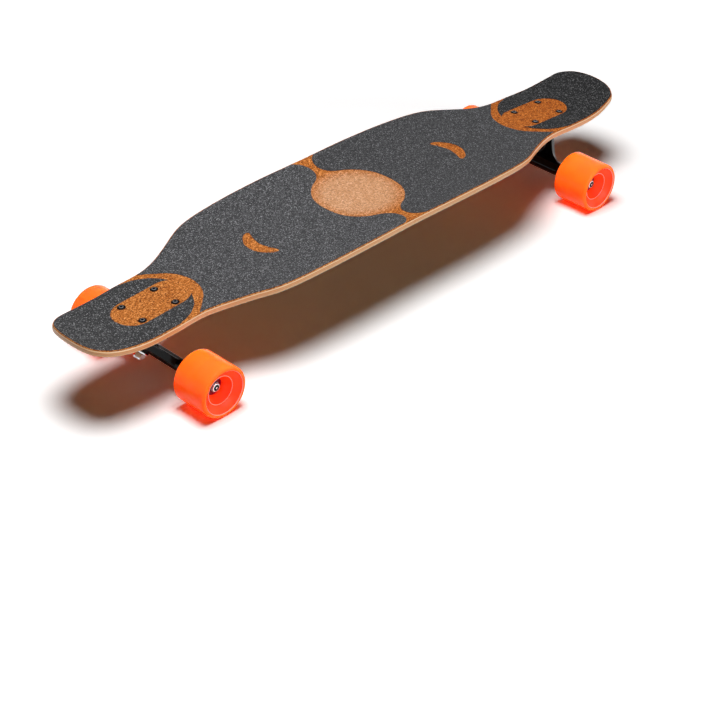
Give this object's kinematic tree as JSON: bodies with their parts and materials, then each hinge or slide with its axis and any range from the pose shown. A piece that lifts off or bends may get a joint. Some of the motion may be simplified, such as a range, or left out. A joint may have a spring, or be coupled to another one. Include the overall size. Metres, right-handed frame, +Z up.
{
  "type": "longboard",
  "caption": "Longboard with a cambered bamboo deck under cork and grip, reverse-kingpin trucks that lean and steer on urethane bushings, and freely spinning wheels.",
  "frame": {"origin": "on the ground under the middle of the deck, midway between the axles", "axes": "+X towards the nose, +Y to the rider's left, +Z up"},
  "size_m": [1.001, 0.266, 0.1304],
  "materials": {
    "bamboo": "satin lacquer",
    "cork": "matte granular",
    "grip": "coarse grit",
    "truck_black": "gloss black enamel",
    "chrome": "polished",
    "steel": "machined",
    "black_oxide": "black oxide",
    "bushing_urethane": "gloss",
    "pivot_plastic": "satin",
    "wheel_urethane": "gloss",
    "core_plastic": "gloss"
  },
  "bodies": {
    "deck": {"deck_core": "bamboo", "deck_cork_sheet": "cork", "grip_front_sheet": "grip", "grip_rear_sheet": "grip", "grip_nose_piece": "grip", "grip_tail_piece": "grip", "baseplate_nose": "truck_black", "pivot_cup_nose": "pivot_plastic", "kingpin_nose": "chrome", "kingpin_nut_nose": "chrome", "washer_board_side_nose": "chrome", "washer_road_side_nose": "chrome", "bushing_board_side_nose": "bushing_urethane", "bushing_road_side_nose": "bushing_urethane", "bolt_nose_inboard_left": "black_oxide", "bolt_nut_nose_inboard_left": "black_oxide", "bolt_nose_inboard_right": "black_oxide", "bolt_nut_nose_inboard_right": "black_oxide", "bolt_nose_outboard_left": "black_oxide", "bolt_nut_nose_outboard_left": "black_oxide", "bolt_nose_outboard_right": "black_oxide", "bolt_nut_nose_outboard_right": "black_oxide", "baseplate_tail": "truck_black", "pivot_cup_tail": "pivot_plastic", "kingpin_tail": "chrome", "kingpin_nut_tail": "chrome", "washer_board_side_tail": "chrome", "washer_road_side_tail": "chrome", "bushing_board_side_tail": "bushing_urethane", "bushing_road_side_tail": "bushing_urethane", "bolt_tail_inboard_left": "black_oxide", "bolt_nut_tail_inboard_left": "black_oxide", "bolt_tail_inboard_right": "black_oxide", "bolt_nut_tail_inboard_right": "black_oxide", "bolt_tail_outboard_left": "black_oxide", "bolt_nut_tail_outboard_left": "black_oxide", "bolt_tail_outboard_right": "black_oxide", "bolt_nut_tail_outboard_right": "black_oxide"},
    "hanger_nose": {"hanger_nose": "truck_black", "axle_nose": "steel", "axle_nut_nose_left": "steel", "axle_nut_nose_right": "steel"},
    "hanger_tail": {"hanger_tail": "truck_black", "axle_tail": "steel", "axle_nut_tail_left": "steel", "axle_nut_tail_right": "steel"},
    "wheel_nose_left": {"tyre_nose_left": "wheel_urethane", "wheel_core_nose_left": "core_plastic", "bearings_nose_left": "steel"},
    "wheel_nose_right": {"tyre_nose_right": "wheel_urethane", "wheel_core_nose_right": "core_plastic", "bearings_nose_right": "steel"},
    "wheel_tail_left": {"tyre_tail_left": "wheel_urethane", "wheel_core_tail_left": "core_plastic", "bearings_tail_left": "steel"},
    "wheel_tail_right": {"tyre_tail_right": "wheel_urethane", "wheel_core_tail_right": "core_plastic", "bearings_tail_right": "steel"}
  },
  "joints": [
    {"name": "steer_nose", "type": "hinge", "parent": "deck", "child": "hanger_nose", "pos_m": [0.365, 0, 0.036], "axis": [0.6839, 0, 0.7296], "range_deg": [-18, 18], "stiffness_Nm_per_rad": 50, "deforming": ["bushing_board_side_nose", "bushing_road_side_nose"]},
    {"name": "steer_tail", "type": "hinge", "parent": "deck", "child": "hanger_tail", "pos_m": [-0.365, 0, 0.036], "axis": [-0.6839, 0, 0.7296], "range_deg": [-18, 18], "stiffness_Nm_per_rad": 50, "deforming": ["bushing_board_side_tail", "bushing_road_side_tail"]},
    {"name": "spin_nose_left", "type": "hinge", "parent": "hanger_nose", "child": "wheel_nose_left", "pos_m": [0.365, 0.104, 0.036], "axis": [0, 1, 0], "continuous": true},
    {"name": "spin_nose_right", "type": "hinge", "parent": "hanger_nose", "child": "wheel_nose_right", "pos_m": [0.365, -0.104, 0.036], "axis": [0, 1, 0], "continuous": true},
    {"name": "spin_tail_left", "type": "hinge", "parent": "hanger_tail", "child": "wheel_tail_left", "pos_m": [-0.365, 0.104, 0.036], "axis": [0, 1, 0], "continuous": true},
    {"name": "spin_tail_right", "type": "hinge", "parent": "hanger_tail", "child": "wheel_tail_right", "pos_m": [-0.365, -0.104, 0.036], "axis": [0, 1, 0], "continuous": true}
  ]
}
